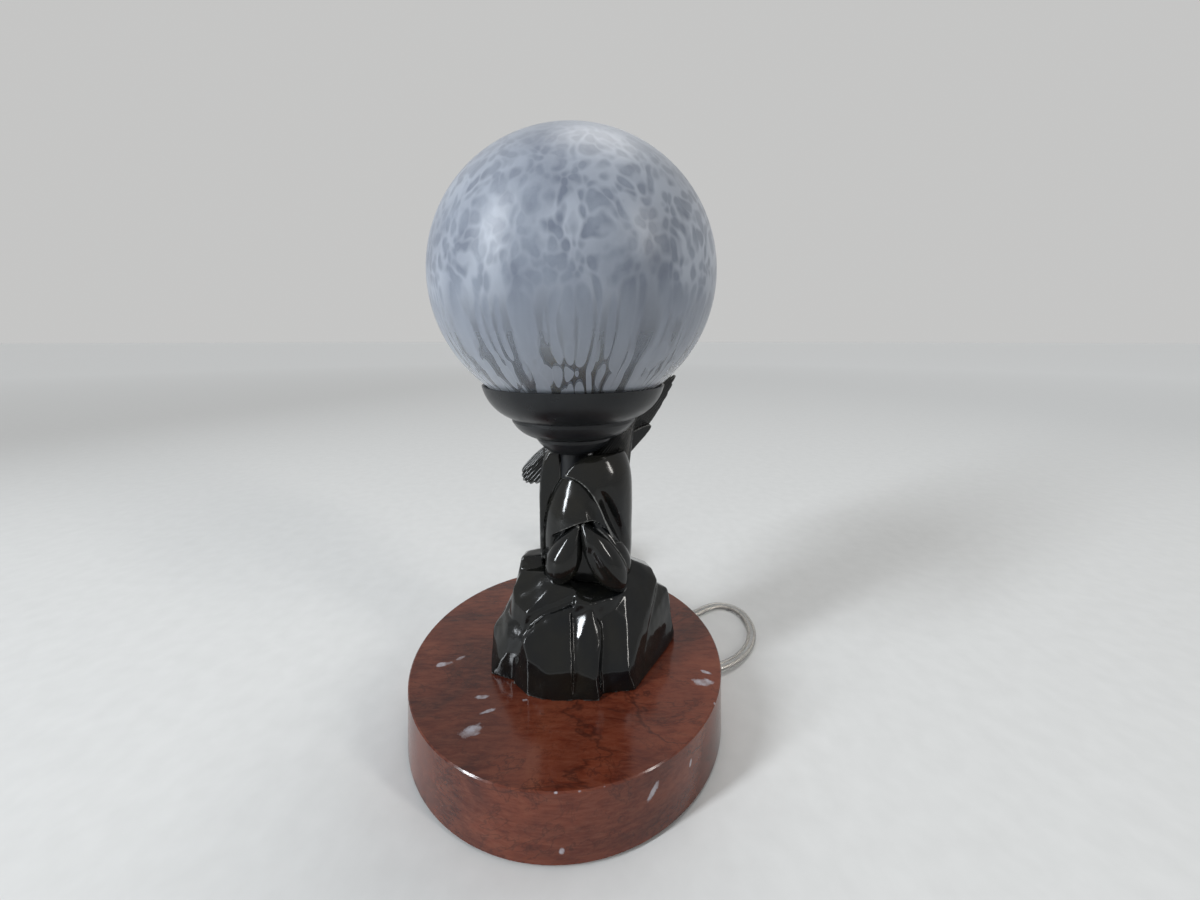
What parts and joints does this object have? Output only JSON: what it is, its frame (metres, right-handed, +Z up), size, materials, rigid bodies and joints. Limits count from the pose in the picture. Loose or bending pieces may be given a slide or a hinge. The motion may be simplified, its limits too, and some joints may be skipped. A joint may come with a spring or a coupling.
{
  "type": "table_lamp",
  "caption": "Figural table lamp: black cast bird on a faceted rock, round marble base, three-step black cup and a mottled glass ball, with E27 bulb, switch and plug",
  "frame": {"origin": "centre of the round base, on the table", "axes": "+Z up, -Y towards the camera of the picture, +X to its right"},
  "size_m": [0.2007, 0.2866, 0.3037],
  "materials": {
    "marble": "polished",
    "felt": "matte",
    "black_patina": "polished",
    "black_spun": "satin",
    "zinc_steel": "satin",
    "holder_brass": "satin",
    "ceramic_white": "glossy",
    "bulb_aluminium": "satin",
    "bulb_insulation": "glossy",
    "bulb_glass": "frosted",
    "globe_glass": "frosted",
    "clear_pvc": "glossy",
    "clear_plastic": "glossy",
    "black_rubber": "matte",
    "white_rocker": "satin"
  },
  "bodies": {
    "lamp": {"marble_base": "marble", "felt_pad": "felt", "flex_grommet": "black_rubber", "rock_casting": "black_patina", "rock_screws": "zinc_steel", "lamp_tube": "zinc_steel", "base_washer": "zinc_steel", "base_nut": "zinc_steel", "cup_washer": "zinc_steel", "cup_nut": "zinc_steel", "bird_body": "black_patina", "bird_head": "black_patina", "right_wing_folded": "black_patina", "left_wing_folded": "black_patina", "tail_lobe_left": "black_patina", "tail_lobe_right": "black_patina", "tail_blade": "black_patina", "right_wing_raised": "black_patina", "left_wing_fan": "black_patina", "spacer_tube": "black_spun", "cup": "black_spun", "holder_cap": "holder_brass", "holder_shell": "holder_brass", "ceramic_insert": "ceramic_white", "screw_liner": "holder_brass", "centre_contact": "holder_brass", "terminal_screws": "zinc_steel", "inner_lead": "clear_pvc", "flex_run": "clear_pvc", "flex_link": "clear_pvc", "flex_coil": "clear_pvc", "coil_tie": "black_rubber", "switch_lower_shell": "clear_plastic", "switch_upper_shell": "clear_plastic", "rocker_pin": "zinc_steel", "switch_screws": "zinc_steel", "plug_body": "clear_plastic", "plug_pins": "holder_brass"},
    "globe": {"globe": "globe_glass"},
    "bulb": {"bulb_cap": "bulb_aluminium", "bulb_insulator": "bulb_insulation", "bulb_contact": "holder_brass", "bulb_glass": "bulb_glass", "bulb_mount": "bulb_glass"},
    "rocker": {"switch_rocker": "white_rocker"}
  },
  "joints": [
    {"name": "globe_lift", "type": "slide", "parent": "lamp", "child": "globe", "axis": [0, 0, 1], "range_m": [0, 0.11]},
    {"name": "bulb_turn", "type": "hinge", "parent": "lamp", "child": "bulb", "pos_m": [0.0031, 0, 0.2], "axis": [0, 0, 1], "range_deg": [0, 1080]},
    {"name": "switch_tip", "type": "hinge", "parent": "lamp", "child": "rocker", "pos_m": [0.03112, 0.08551, 0.00865], "axis": [0.342, 0.9397, 0], "range_deg": [-14, 0]}
  ]
}
